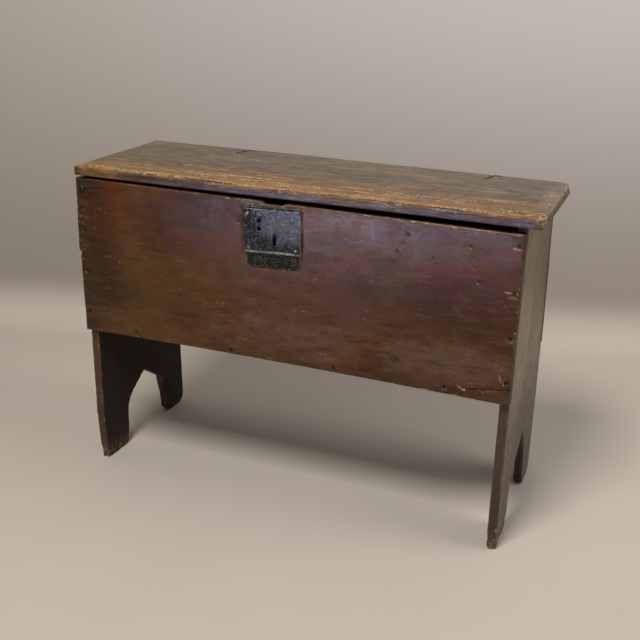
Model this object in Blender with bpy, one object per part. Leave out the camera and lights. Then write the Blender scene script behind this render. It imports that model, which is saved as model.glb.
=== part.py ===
"""Six plank coffer: six oak boards nailed together, a lid on two snipe hinges and an iron plate lock.

Metres, +Z up, the front faces -Y. The origin is under the middle of the coffer, on the floor.
"""
import math

import bmesh
import bpy
from mathutils import Matrix, Vector

# Room left between pieces that touch
GAP = 0.0003

# The boards. Depths (y) are measured back from the front plank's face, heights (z) up from the floor.
PLANK_LENGTH = 0.885
BOARD = 0.019
LID_UNDERSIDE = 0.6405
LID_THICK = 0.0185
LID_PAST_LEFT = 0.0045
LID_PAST_RIGHT = 0.030
LID_PAST_FRONT = 0.0045
LID_PAST_BACK = 0.0
LID_CORNERS = (0.006, 0.008, 0.022, 0.010)
LID_WORN_LEFT = 0.004
LID_WORN_RIGHT = 0.011
LID_FULL_FROM_LEFT = 0.330
FRONT_BOTTOM = 0.312
FRONT_BELOW_LID_LEFT = 0.005
FRONT_BELOW_LID_RIGHT = 0.0125
FRONT_BOW = 0.0045
FRONT_LET_IN = 0.0065
BACK_BOTTOM = 0.306
BACK_LET_IN = 0.009
END_WIDTH_FLOOR = 0.345
END_WIDTH_KNEE = 0.333
END_WIDTH_TOP = 0.290
BOTTOM_UNDERSIDE = 0.319
BOTTOM_THICK = 0.016
HOUSING = 0.006
ARRIS = 0.0012

# The front plank's left end isn't square: it stands past the end board, most above an old split
PAST_LEFT_TOP = 0.0045
PAST_LEFT_ABOVE_SPLIT = 0.0075
PAST_LEFT_BELOW_SPLIT = 0.0045
PAST_LEFT_BOTTOM = 0.0022
SPLIT_HEIGHT = 0.481
SPLIT_DEEP = 0.006
SPLIT_OPEN = 0.004

# The hand-cut arch that makes two feet of each end board, and how far each front foot is worn back
ARCH_FROM_FRONT = 0.110
ARCH_WIDTH = 0.166
ARCH_SPRING = 0.104
ARCH_EASE = 0.030
ARCH_LEAN = 0.020
LEFT_ARCH_APEX = 0.073
LEFT_ARCH_RISE = 0.048
RIGHT_ARCH_APEX = 0.109
RIGHT_ARCH_RISE = 0.059
LEFT_FOOT_WORN = 0.010
RIGHT_FOOT_WORN = 0.003
FOOT_WORN_HIGH = 0.115
FRONT_TOE = 0.008
FRONT_HEEL = 0.008
REAR_HEEL = 0.024
REAR_TOE = 0.026

# Forged nails: square tapered shanks under low round heads
NAIL_SHANK = 0.0042
NAIL_TIP = 0.0016
NAIL_LENGTH = 0.050
NAIL_HEAD = 0.0046
NAIL_HEAD_HIGH = 0.0016
DOME_HEAD = 0.0066
DOME_HEAD_HIGH = 0.0032
NAILS_PER_CORNER = 4
NAIL_FROM_TOP = 0.021
NAIL_FROM_BOTTOM = 0.044
BOTTOM_NAILS = 4
BOTTOM_NAIL_FROM_END = 0.119
PLATE_NAIL_SHANK = 0.0028
PLATE_NAIL_TIP = 0.0012
PLATE_NAIL_LENGTH = 0.014
PLATE_NAIL_HEAD = 0.0034
PLATE_NAIL_HEAD_HIGH = 0.0014
# A head's three rings as shares of its radius and height
HEAD_RINGS = ((0.82, 0.0), (1.0, 0.3), (0.74, 0.78))

# Snipe hinges: two iron wire staples, eye in eye, with their points clenched over
HINGE_FROM_LEFT = (0.230, 0.764)
WIRE = 0.0015
EYE = 0.0055
PIVOT_BEHIND_LID = 0.004
PIVOT_BELOW_LID = 0.001
PRONGS_APART = 0.0042
LID_PRONG_ANGLE = math.radians(40)
BACK_PRONG_ANGLE = math.radians(45)
CLENCH_LONG = 0.036
CLENCH_SHORT = 0.018
CLENCH_TURN = math.radians(17)
CLENCH_BEND = 0.004
CLENCH_SUNK = 0.0012
POINT_RADIUS = 0.4
WIRE_SIDES = 8
WIRE_ROOM = 0.0003
EYE_ROOM = 0.0006

# The lock. Its places are measured from the plate's middle, on a frame tilted with the plate.
LOCK_FROM_LEFT = 0.422
LOCK_BELOW_TOP = 0.056
LOCK_TILT = math.radians(2.1)
PLATE_WIDE = 0.116
PLATE_HIGH = 0.084
PLATE_THICK = 0.0022
PLATE_NAIL_INSET = 0.010
UNDER_WIDE = 0.108
UNDER_UP = 0.046
UNDER_DOWN = 0.071
UNDER_THICK = 0.0012
UNDER_CORNER = 0.014
UNDER_NAIL_INSET = 0.009
MORTISE_WIDE = 0.090
MORTISE_HIGH = 0.062
MORTISE_DEEP = 0.0125
SLOT_X = -0.0252
SLOT_Z = 0.0115
SLOT_WIDE = 0.009
SLOT_HIGH = 0.0235
KEY_X = 0.006
KEY_Z = -0.006
KEY_RADIUS = 0.0034
KEY_SLOT = 0.0036
KEY_DROP = 0.020
BOLT_HIGH = 0.0086
BOLT_THICK = 0.0035
BOLT_PAST_SLOT = 0.004
BOLT_TAIL = 0.022
BOLT_CLEARS = 0.0006
TALON_WIDE = 0.010
TALON_DEEP = 0.0028
STRAP = 0.002
KEEPER_WIDE = 0.006
KEEPER_FROM_SLOT = 0.003
WARD_SPAN = 0.040
WARD_HIGH = 0.008
WARD_REACH = 0.0075
PIN_RADIUS = 0.0015
SPRING_THICK = 0.0009
SPRING_RISE = 0.006
SPRING_ROOT = 0.005

# The worn notch in the front plank's top edge where the lost hasp dropped
HASP_NOTCH_FROM_LEFT = 0.425
HASP_NOTCH_WIDE = 0.046
HASP_NOTCH_DEEP = 0.005

# Derived places, with the front plank's face at y = 0 until FRONT shifts it
LEG_SETBACK = BOARD - FRONT_LET_IN
RAKE = math.atan((END_WIDTH_KNEE - END_WIDTH_TOP) / (LID_UNDERSIDE - BACK_BOTTOM))
BACK_DEPTH = BOARD / math.cos(RAKE)
LEFT = (max(LID_PAST_LEFT, PAST_LEFT_ABOVE_SPLIT) - LID_PAST_RIGHT - PLANK_LENGTH) / 2
RIGHT = LEFT + PLANK_LENGTH
BOLT_THROW = BOLT_PAST_SLOT + SLOT_WIDE + BOLT_CLEARS

OAK = ("3B2418", 0.42, 0.0)
OAK_LID = ("6A4A2C", 0.45, 0.0)
OAK_END = ("4A3625", 0.5, 0.0)
OAK_INSIDE = ("5A432E", 0.7, 0.0)
IRON = ("2E2D30", 0.45, 0.85)
IRON_RUST = ("3A2E28", 0.6, 0.7)


def rear_edge(z):
    """How far back an end board's rear edge is at height z: near upright below the back plank, then raked."""
    if z < BACK_BOTTOM:
        return LEG_SETBACK + END_WIDTH_FLOOR + (END_WIDTH_KNEE - END_WIDTH_FLOOR) * z / BACK_BOTTOM
    return LEG_SETBACK + END_WIDTH_KNEE - (z - BACK_BOTTOM) * math.tan(RAKE)


def back_inner(z):
    """The inner face of the back plank at height z."""
    return rear_edge(z) - BACK_LET_IN


def back_outer(z):
    """The outer face of the back plank at height z."""
    return back_inner(z) + BACK_DEPTH


def arc(centre, radius, start, end, steps):
    """Points along an arc, angles in degrees."""
    angles = (math.radians(start + (end - start) * i / steps) for i in range(steps + 1))
    return [(centre[0] + radius * math.cos(a), centre[1] + radius * math.sin(a)) for a in angles]


def eased(before, corner, after, reach, steps=5):
    """Points on a curve that leaves out a corner, from reach before it to reach after it."""
    corner = Vector(corner)
    start = corner + (Vector(before) - corner).normalized() * reach
    finish = corner + (Vector(after) - corner).normalized() * reach
    shares = (i / steps for i in range(steps + 1))
    return [tuple(start * (1 - t) ** 2 + corner * 2 * t * (1 - t) + finish * t ** 2) for t in shares]


ARCHES = {"left": (LEFT_ARCH_APEX, LEFT_ARCH_RISE), "right": (RIGHT_ARCH_APEX, RIGHT_ARCH_RISE)}
FEET_WORN = {"left": LEFT_FOOT_WORN, "right": RIGHT_FOOT_WORN}


def end_outline(side):
    """An end board seen from its side, as (y, z): two worn feet, a pointed arch whose rear side leans
    forward, and a notch for each long plank."""
    front, arch0 = LEG_SETBACK, ARCH_FROM_FRONT
    arch1 = arch0 + ARCH_WIDTH
    rear = rear_edge(REAR_TOE)
    end_top = LID_UNDERSIDE - GAP
    apex, rise = ARCHES[side]
    peak = (arch0 + apex, ARCH_SPRING + rise)
    toe = front + FEET_WORN[side]
    return [
        *arc((toe + FRONT_TOE, FRONT_TOE), FRONT_TOE, 180, 270, 4),
        *arc((arch0 - FRONT_HEEL, FRONT_HEEL), FRONT_HEEL, 270, 360, 3),
        *eased((arch0, FRONT_HEEL), (arch0, ARCH_SPRING), peak, ARCH_EASE),
        peak,
        (arch1 - ARCH_LEAN, ARCH_SPRING),
        *arc((arch1 + REAR_HEEL, REAR_HEEL), REAR_HEEL, 180, 270, 5),
        *arc((rear - REAR_TOE, REAR_TOE), REAR_TOE, 270, 360, 5),
        (rear_edge(BACK_BOTTOM - GAP), BACK_BOTTOM - GAP),
        (back_inner(BACK_BOTTOM - GAP) - GAP, BACK_BOTTOM - GAP),
        (back_inner(end_top) - GAP, end_top),
        (BOARD + GAP, end_top),
        (BOARD + GAP, FRONT_BOTTOM - GAP),
        (front, FRONT_BOTTOM - GAP),
        (front, FOOT_WORN_HIGH),
    ]


# The front face's place puts the middle of the whole depth on the origin
FRONT = (LID_PAST_FRONT - max(y for side in ARCHES for y, z in end_outline(side))) / 2


def front_top(x):
    """The height of the front plank's top edge, which drops away from the lid towards the right."""
    drop = (FRONT_BELOW_LID_RIGHT - FRONT_BELOW_LID_LEFT) * (x - LEFT) / PLANK_LENGTH
    return LID_UNDERSIDE - FRONT_BELOW_LID_LEFT - drop


def clear_scene():
    for old in list(bpy.data.objects):
        bpy.data.objects.remove(old, do_unlink=True)


def material(name, finish):
    """A Principled material from a hex colour, a roughness and a metallic value."""
    colour, roughness, metallic = finish
    channels = [int(colour[i:i + 2], 16) / 255 for i in (0, 2, 4)]
    linear = [c / 12.92 if c <= 0.04045 else ((c + 0.055) / 1.055) ** 2.4 for c in channels]
    made = bpy.data.materials.new(name)
    made.use_nodes = True
    shader = made.node_tree.nodes["Principled BSDF"]
    shader.inputs["Base Color"].default_value = (*linear, 1.0)
    shader.inputs["Roughness"].default_value = roughness
    shader.inputs["Metallic"].default_value = metallic
    return made


def place(obj, location=(0, 0, 0), rotation=(0, 0, 0), parent=None):
    obj.location = location
    obj.rotation_euler = rotation
    obj.parent = parent
    bpy.context.scene.collection.objects.link(obj)
    return obj


def empty(name, location, rotation=(0, 0, 0)):
    return place(bpy.data.objects.new(name, None), location, rotation)


def to_mesh(name, bm, finish):
    """Turns a bmesh into a mesh with its own material, faces outwards."""
    bmesh.ops.recalc_face_normals(bm, faces=bm.faces)
    mesh = bpy.data.meshes.new(name)
    bm.to_mesh(mesh)
    bm.free()
    mesh.materials.append(material(name + "_finish", finish))
    return mesh


def solid(name, bm, finish, parent=None):
    """A named object from a bmesh."""
    return place(bpy.data.objects.new(name, to_mesh(name, bm, finish)), parent=parent)


def cutter(name, bm, parent=None):
    """A hidden solid that only takes material away."""
    made = solid(name, bm, IRON, parent)
    made.hide_render = True
    made.display_type = "WIRE"
    return made


def cut(obj, *tools):
    for tool in tools:
        step = obj.modifiers.new("cut " + tool.name, "BOOLEAN")
        step.operation = "DIFFERENCE"
        step.solver = "EXACT"
        step.object = tool
    return obj


def ease(obj, width):
    """Takes the sharp arrises off, as years of handling do."""
    step = obj.modifiers.new("worn arris", "BEVEL")
    step.width = width
    step.segments = 1
    step.limit_method = "ANGLE"
    step.angle_limit = math.radians(40)
    return obj


def prism(outline, low, high, axes, bm=None):
    """An outline pushed along one axis. axes names the outline's two axes and the push axis, as in 'yzx'."""
    bm = bm or bmesh.new()
    slots = ["xyz".index(a) for a in axes]
    rings = []
    for level in (low, high):
        ring = []
        for a, b in outline:
            point = [0.0, 0.0, 0.0]
            point[slots[0]], point[slots[1]], point[slots[2]] = a, b, level
            ring.append(bm.verts.new(point))
        rings.append(ring)
    bm.faces.new(rings[0])
    bm.faces.new(rings[1])
    for i in range(len(outline)):
        j = (i + 1) % len(outline)
        bm.faces.new((rings[0][i], rings[0][j], rings[1][j], rings[1][i]))
    return bm


def rectangle(x0, x1, y0, y1):
    return [(x0, y0), (x1, y0), (x1, y1), (x0, y1)]


def block(low, high, bm=None):
    return prism(rectangle(low[0], high[0], low[1], high[1]), low[2], high[2], "xyz", bm)


def shank(bm, where, width, tip, top, length):
    """A square shank that tapers downwards from the height top, in the frame of one nail."""
    rings = []
    for half, z in ((width / 2, top), (tip / 2, -length)):
        corners = ((-half, -half), (half, -half), (half, half), (-half, half))
        rings.append([bm.verts.new(where @ Vector((x, y, z))) for x, y in corners])
    return rings


def nail_mesh(name, sizes, finish):
    """One forged nail: a low round head over a square tapered shank, pointing down its own Z axis."""
    width, tip, length, head, head_high = sizes
    bm = bmesh.new()
    upper, lower = shank(bm, Matrix(), width, tip, GAP, length)
    bm.faces.new(lower)
    for i in range(4):
        bm.faces.new((upper[i], upper[(i + 1) % 4], lower[(i + 1) % 4], lower[i]))
    sides = 12
    rings = []
    for radius, z in HEAD_RINGS:
        angles = (2 * math.pi * (i + 0.5) / sides for i in range(sides))
        rings.append([
            bm.verts.new((head * radius * math.cos(a), head * radius * math.sin(a), GAP + head_high * z))
            for a in angles])
    crown = bm.verts.new((0, 0, GAP + head_high))
    for i in range(sides):
        j = (i + 1) % sides
        bm.faces.new((rings[0][i], rings[0][j], rings[1][j], rings[1][i]))
        bm.faces.new((rings[1][i], rings[1][j], rings[2][j], rings[2][i]))
        bm.faces.new((rings[2][i], rings[2][j], crown))
    for side in range(4):
        first = (side * 3 + 7) % sides
        under = [rings[0][(first + k) % sides] for k in range(4)]
        bm.faces.new((*under, upper[(side + 1) % 4], upper[side]))
    return to_mesh(name, bm, finish)


def nails(name, places, mesh, parent=None):
    """A row of like nails, each its own object on the one shared mesh."""
    for number, where in enumerate(places, 1):
        one = place(bpy.data.objects.new(f"{name}_{number}", mesh), parent=parent)
        one.matrix_basis = where


def nail_holes(bm, places, sizes):
    """Square holes that fit the shanks with the usual gap."""
    width, tip, length = sizes[:3]
    for where in places:
        upper, lower = shank(bm, where, width + 2 * GAP, tip + 2 * GAP, 2 * GAP, length + GAP)
        bm.faces.new(upper)
        bm.faces.new(lower)
        for i in range(4):
            bm.faces.new((upper[i], upper[(i + 1) % 4], lower[(i + 1) % 4], lower[i]))
    return bm


BOARD_NAIL = (NAIL_SHANK, NAIL_TIP, NAIL_LENGTH, NAIL_HEAD, NAIL_HEAD_HIGH)
DOME_NAIL = (NAIL_SHANK, NAIL_TIP, NAIL_LENGTH, DOME_HEAD, DOME_HEAD_HIGH)
PLATE_NAIL = (PLATE_NAIL_SHANK, PLATE_NAIL_TIP, PLATE_NAIL_LENGTH, PLATE_NAIL_HEAD, PLATE_NAIL_HEAD_HIGH)
FACING_FRONT = Matrix.Rotation(math.radians(90), 4, "X")
FACING_BACK = Matrix.Rotation(math.radians(-90) + RAKE, 4, "X")


def front_nail(x, z):
    return Matrix.Translation((x, FRONT, z)) @ FACING_FRONT


def back_nail(x, z):
    return Matrix.Translation((x, FRONT + back_outer(z), z)) @ FACING_BACK


def steps_between(low, high, count):
    return [low + (high - low) * i / (count - 1) for i in range(count)]


def corner_heights(low, high):
    """Nail heights up one corner of the box, the top one first."""
    return steps_between(high - NAIL_FROM_TOP, low + NAIL_FROM_BOTTOM, NAILS_PER_CORNER)


BACK_TOP = LID_UNDERSIDE - GAP
BOTTOM_MIDDLE = BOTTOM_UNDERSIDE + BOTTOM_THICK / 2
NAIL_XS = {"left": LEFT + BOARD / 2, "right": RIGHT - BOARD / 2}
BOTTOM_NAIL_XS = steps_between(LEFT + BOTTOM_NAIL_FROM_END, RIGHT - BOTTOM_NAIL_FROM_END, BOTTOM_NAILS)
FRONT_CORNER_NAILS = {
    side: [front_nail(x, z) for z in corner_heights(FRONT_BOTTOM, front_top(x))]
    for side, x in NAIL_XS.items()}
BACK_CORNER_NAILS = {
    side: [back_nail(x, z) for z in corner_heights(BACK_BOTTOM, BACK_TOP)] for side, x in NAIL_XS.items()}
FRONT_BOTTOM_NAILS = [front_nail(x, BOTTOM_MIDDLE) for x in BOTTOM_NAIL_XS]
BACK_BOTTOM_NAILS = [back_nail(x, BOTTOM_MIDDLE) for x in BOTTOM_NAIL_XS]


def grown(outline, room):
    """A convex outline, run anticlockwise, moved outwards by the same room all round."""
    points = [Vector(p) for p in outline]
    count = len(points)
    moved = []
    for i in range(count):
        before = (points[i] - points[i - 1]).normalized()
        after = (points[(i + 1) % count] - points[i]).normalized()
        n0, n1 = Vector((before.y, -before.x)), Vector((after.y, -after.x))
        half = (n0 + n1).normalized()
        moved.append(tuple(points[i] + half * room / half.dot(n0)))
    return moved


def under_plate_outline():
    """The older plate seen from the front: square above, round at its lower corners."""
    half, low = UNDER_WIDE / 2, -UNDER_DOWN
    r = UNDER_CORNER
    return [
        *arc((-half + r, low + r), r, 180, 270, 5),
        *arc((half - r, low + r), r, 270, 360, 5),
        (half, UNDER_UP),
        (-half, UNDER_UP),
    ]


def keyhole_outline():
    """A round top for the drill pin over a slot for the key's bit."""
    half = KEY_SLOT / 2
    dip = math.degrees(math.asin(half / KEY_RADIUS))
    turn = arc((KEY_X, KEY_Z), KEY_RADIUS, 270 + dip - 360, 270 - dip, 14)
    return [*turn, (KEY_X - half, KEY_Z - KEY_DROP), (KEY_X + half, KEY_Z - KEY_DROP)]


def plate_nail_places():
    """Nail places on the lock plate, on the tilted lock frame, from the plate's face inwards."""
    across, up = PLATE_WIDE / 2 - PLATE_NAIL_INSET, PLATE_HIGH / 2 - PLATE_NAIL_INSET
    face = -GAP - PLATE_THICK
    return [Matrix.Translation((x, face, z)) @ FACING_FRONT for x in (-across, across) for z in (up, -up)]


def under_nail_places():
    across, down = UNDER_WIDE / 2 - UNDER_NAIL_INSET, UNDER_DOWN - UNDER_NAIL_INSET
    return [Matrix.Translation((x, 0, -down)) @ FACING_FRONT for x in (-across, across)]


def front_outline():
    """The front plank seen from the front: a lower edge that bows up, a worn notch for the lost hasp, and a
    left end that is split and out of square."""
    steps = 12
    low_left = LEFT - PAST_LEFT_BOTTOM
    shares = [i / steps for i in range(steps + 1)]
    lower = [(low_left + (RIGHT - low_left) * s, FRONT_BOTTOM + FRONT_BOW * (1 - (2 * s - 1) ** 2))
             for s in shares]
    middle, half = LEFT + HASP_NOTCH_FROM_LEFT, HASP_NOTCH_WIDE / 2
    floor = front_top(middle) - HASP_NOTCH_DEEP
    top_left = LEFT - PAST_LEFT_TOP
    return [
        *lower,
        (RIGHT, front_top(RIGHT)),
        (middle + half, front_top(middle + half)),
        (middle + half - HASP_NOTCH_DEEP, floor),
        (middle - half + HASP_NOTCH_DEEP, floor),
        (middle - half, front_top(middle - half)),
        (top_left, front_top(top_left)),
        (LEFT - PAST_LEFT_ABOVE_SPLIT, SPLIT_HEIGHT + SPLIT_OPEN / 2),
        (LEFT - PAST_LEFT_ABOVE_SPLIT + SPLIT_DEEP, SPLIT_HEIGHT),
        (LEFT - PAST_LEFT_BELOW_SPLIT, SPLIT_HEIGHT - SPLIT_OPEN / 2),
    ]


def make_front_plank(lock):
    plank = solid("front_plank", prism(front_outline(), FRONT, FRONT + BOARD, "xzy"), OAK)
    holes = bmesh.new()
    for places in (*FRONT_CORNER_NAILS.values(), FRONT_BOTTOM_NAILS):
        nail_holes(holes, places, BOARD_NAIL)
    lock_holes = nail_holes(bmesh.new(), plate_nail_places() + under_nail_places(), PLATE_NAIL)
    seat = prism(grown(under_plate_outline(), GAP), -BOARD, UNDER_THICK + GAP, "xzy")
    wide, high = MORTISE_WIDE / 2, MORTISE_HIGH / 2
    mortise = block((-wide, -BOARD, -high), (wide, MORTISE_DEEP, high))
    ease(plank, ARRIS)
    return cut(
        plank,
        cutter("front_nail_holes", holes),
        cutter("old_plate_seat", seat, lock),
        cutter("lock_mortise", mortise, lock),
        cutter("plate_nail_holes_in_wood", lock_holes, lock))


def make_end(side):
    """One end board, from the floor to the lid, with a housing across its inner face for the bottom."""
    low = LEFT if side == "left" else RIGHT - BOARD
    outline = [(FRONT + y, z) for y, z in end_outline(side)]
    board = solid(side + "_end", prism(outline, low, low + BOARD, "yzx"), OAK_END)
    holes = bmesh.new()
    nail_holes(holes, FRONT_CORNER_NAILS[side] + BACK_CORNER_NAILS[side], BOARD_NAIL)
    inner = low + BOARD if side == "left" else low
    housing = block(
        (inner - HOUSING, FRONT, BOTTOM_UNDERSIDE - GAP),
        (inner + HOUSING, FRONT + 2 * END_WIDTH_FLOOR, BOTTOM_UNDERSIDE + BOTTOM_THICK + GAP))
    ease(board, ARRIS)
    return cut(board, cutter(side + "_housing", housing), cutter(side + "_end_nail_holes", holes))


def make_back_plank(staples):
    """The back plank leans with the raked rear edges of the ends, its top planed level under the lid."""
    profile = [
        (FRONT + back_inner(BACK_BOTTOM), BACK_BOTTOM),
        (FRONT + back_outer(BACK_BOTTOM), BACK_BOTTOM),
        (FRONT + back_outer(BACK_TOP), BACK_TOP),
        (FRONT + back_inner(BACK_TOP), BACK_TOP),
    ]
    plank = solid("back_plank", prism(profile, LEFT, RIGHT, "yzx"), OAK_INSIDE)
    holes = bmesh.new()
    for places in (*BACK_CORNER_NAILS.values(), BACK_BOTTOM_NAILS):
        nail_holes(holes, places, BOARD_NAIL)
    ease(plank, ARRIS)
    return cut(plank, cutter("back_nail_holes", holes), *staples)


def make_bottom():
    """The bottom board, its ends let into the housings and its long edges nailed through front and back."""
    top = BOTTOM_UNDERSIDE + BOTTOM_THICK
    reach = BOARD - HOUSING + GAP
    board = solid("bottom_plank", block(
        (LEFT + reach, FRONT + BOARD + GAP, BOTTOM_UNDERSIDE),
        (RIGHT - reach, FRONT + back_inner(top) - GAP, top)), OAK_INSIDE)
    holes = nail_holes(bmesh.new(), FRONT_BOTTOM_NAILS + BACK_BOTTOM_NAILS, BOARD_NAIL)
    return cut(board, cutter("bottom_nail_holes", holes))


def make_lid(pivot, staples):
    """The lid board, with worn round corners and a rear edge worn back at both ends, about its hinge axis."""
    x0, x1 = LEFT - LID_PAST_LEFT, RIGHT + LID_PAST_RIGHT
    y0 = FRONT - LID_PAST_FRONT
    y1 = FRONT + back_outer(LID_UNDERSIDE) + LID_PAST_BACK
    fl, fr, br, bl = LID_CORNERS
    outline = [
        *arc((x0 + fl, y0 + fl), fl, 180, 270, 4),
        *arc((x1 - fr, y0 + fr), fr, 270, 360, 4),
        *arc((x1 - br, y1 - LID_WORN_RIGHT - br), br, 0, 90, 5),
        (x0 + LID_FULL_FROM_LEFT, y1),
        *arc((x0 + bl, y1 - LID_WORN_LEFT - bl), bl, 90, 180, 4),
    ]
    px, py, pz = pivot.location
    outline = [(x - px, y - py) for x, y in outline]
    low = LID_UNDERSIDE - pz
    board = solid("lid", prism(outline, low, low + LID_THICK, "xyz"), OAK_LID, pivot)
    ease(board, ARRIS)
    return cut(board, *staples)


def rounded_path(corners, bend, steps=4):
    """A path through corners, each turned on an arc-like bend instead of a sharp angle."""
    points = [corners[0]]
    for before, corner, after in zip(corners, corners[1:], corners[2:]):
        start = corner + (before - corner).normalized() * bend
        finish = corner + (after - corner).normalized() * bend
        for i in range(steps + 1):
            t = i / steps
            points.append(start * (1 - t) ** 2 + corner * 2 * t * (1 - t) + finish * t ** 2)
    points.append(corners[-1])
    return points


def eye_path(shank_way, side_way, centre):
    """The staple's eye, from one prong round to the other, in the plane of the two given directions."""
    half = PRONGS_APART / 2
    open_angle = math.asin(half / EYE)
    steps = 18
    angles = [open_angle + (2 * math.pi - 2 * open_angle) * i / steps for i in range(steps + 1)]
    return [centre + shank_way * EYE * math.cos(a) + side_way * EYE * math.sin(a) for a in angles]


def staple_path(shank_way, side_way, centre, exit_length, clenches):
    """One clenched staple: point, prong, eye, prong, point. clenches are the two turned-over points."""
    half = side_way * PRONGS_APART / 2
    eye = eye_path(shank_way, side_way, centre)
    first_out = centre + half + shank_way * exit_length[0]
    last_out = centre - half + shank_way * exit_length[1]
    first = rounded_path([first_out + clenches[0], first_out, eye[0]], CLENCH_BEND)
    last = rounded_path([eye[-1], last_out, last_out + clenches[1]], CLENCH_BEND)
    return first[:-1] + eye + last[1:]


def sweep(path, radius, pointed):
    """A round wire along a path. The cross-section is carried along without twisting."""
    bm = bmesh.new()
    ways = [(b - a).normalized() for a, b in zip(path, path[1:])]
    tangents = [ways[0]] + [(a + b).normalized() for a, b in zip(ways, ways[1:])] + [ways[-1]]
    across = tangents[0].orthogonal().normalized()
    rings = []
    for number, (point, tangent) in enumerate(zip(path, tangents)):
        across = (across - tangent * across.dot(tangent)).normalized()
        over = tangent.cross(across)
        drawn = POINT_RADIUS if pointed and number in (0, len(path) - 1) else 1.0
        angles = (2 * math.pi * (k + 0.5) / WIRE_SIDES for k in range(WIRE_SIDES))
        rings.append([bm.verts.new(point + (across * math.cos(a) + over * math.sin(a)) * radius * drawn)
                      for a in angles])
    for lower, upper in zip(rings, rings[1:]):
        for k in range(WIRE_SIDES):
            m = (k + 1) % WIRE_SIDES
            bm.faces.new((lower[k], lower[m], upper[m], upper[k]))
    bm.faces.new(rings[0])
    bm.faces.new(rings[-1])
    return bm


def staple(name, path, parent=None):
    """A clenched staple and the hidden tool that bores its way through the wood."""
    made = solid(name, sweep(path, WIRE, True), IRON_RUST, parent)
    made.data.shade_smooth()
    return cutter(name + "_room", sweep(path, WIRE + WIRE_ROOM, False), parent)


PIVOT_Y = FRONT + back_outer(LID_UNDERSIDE) + LID_PAST_BACK + PIVOT_BEHIND_LID
PIVOT_Z = LID_UNDERSIDE - PIVOT_BELOW_LID


def lid_staple_path(x):
    """The lid's staple about the hinge axis: its eye is centred there, so it turns in place."""
    way = Vector((0, -math.cos(LID_PRONG_ANGLE), math.sin(LID_PRONG_ANGLE)))
    side = Vector((0, -math.sin(LID_PRONG_ANGLE), -math.cos(LID_PRONG_ANGLE)))
    rise = PIVOT_BELOW_LID + LID_THICK - CLENCH_SUNK
    shift = PRONGS_APART / 2 * math.cos(LID_PRONG_ANGLE)
    lengths = [(rise + shift) / way.z, (rise - shift) / way.z]
    forward = Vector((-math.sin(CLENCH_TURN), -math.cos(CLENCH_TURN), 0)) * CLENCH_LONG
    sideways = Vector((CLENCH_SHORT, 0, 0))
    return staple_path(way, side, Vector((x, 0, 0)), lengths, [forward, sideways])


def back_staple_path(x):
    """The back's staple: its eye passes through the lid's eye, and its prongs slope down and in."""
    way = Vector((0, -math.cos(BACK_PRONG_ANGLE), -math.sin(BACK_PRONG_ANGLE)))
    side = Vector((1, 0, 0))
    centre = Vector((x, PIVOT_Y, PIVOT_Z)) + way * EYE
    inner_at = FRONT + back_inner(PIVOT_Z) + CLENCH_SUNK
    slope = math.tan(RAKE)
    length = (centre.y - inner_at - slope * (PIVOT_Z - centre.z)) / (-way.y - slope * way.z)
    turned = Vector((CLENCH_SHORT, 0, 0))
    return staple_path(way, side, centre, [length, length], [turned, -turned])


def make_hinges(pivot):
    """Both snipe hinges, and the hidden tools that fit the lid and the back plank to them."""
    lid_tools, back_tools = [], []
    for side, from_left in zip(("left", "right"), HINGE_FROM_LEFT):
        x = LEFT + from_left
        lid_tools.append(staple(side + "_hinge_lid_staple", lid_staple_path(x), pivot))
        back_tools.append(staple(side + "_hinge_back_staple", back_staple_path(x)))
        back_tools.append(ring_room(side + "_eye_room", x))
    return lid_tools, back_tools


def ring_room(name, x):
    """A ring-shaped tool round the hinge axis, a little fatter than the lid's eye."""
    bm = bmesh.new()
    turns, sides, radius = 24, WIRE_SIDES, WIRE + EYE_ROOM
    rings = []
    for i in range(turns):
        a = 2 * math.pi * i / turns
        ring = []
        for k in range(sides):
            b = 2 * math.pi * k / sides
            reach = EYE + radius * math.cos(b)
            spot = (x + radius * math.sin(b), PIVOT_Y + reach * math.cos(a), PIVOT_Z + reach * math.sin(a))
            ring.append(bm.verts.new(spot))
        rings.append(ring)
    for i in range(turns):
        for k in range(sides):
            j, m = (i + 1) % turns, (k + 1) % sides
            bm.faces.new((rings[i][k], rings[j][k], rings[j][m], rings[i][m]))
    return cutter(name, bm)


BOLT_LEFT = SLOT_X - SLOT_WIDE / 2 - BOLT_PAST_SLOT
BOLT_LOW, BOLT_TOP = SLOT_Z - BOLT_HIGH / 2, SLOT_Z + BOLT_HIGH / 2
KEEPER_XS = (
    SLOT_X + SLOT_WIDE / 2 + KEEPER_FROM_SLOT,
    BOLT_TAIL - BOLT_THROW / 2 - KEEPER_WIDE)


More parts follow.
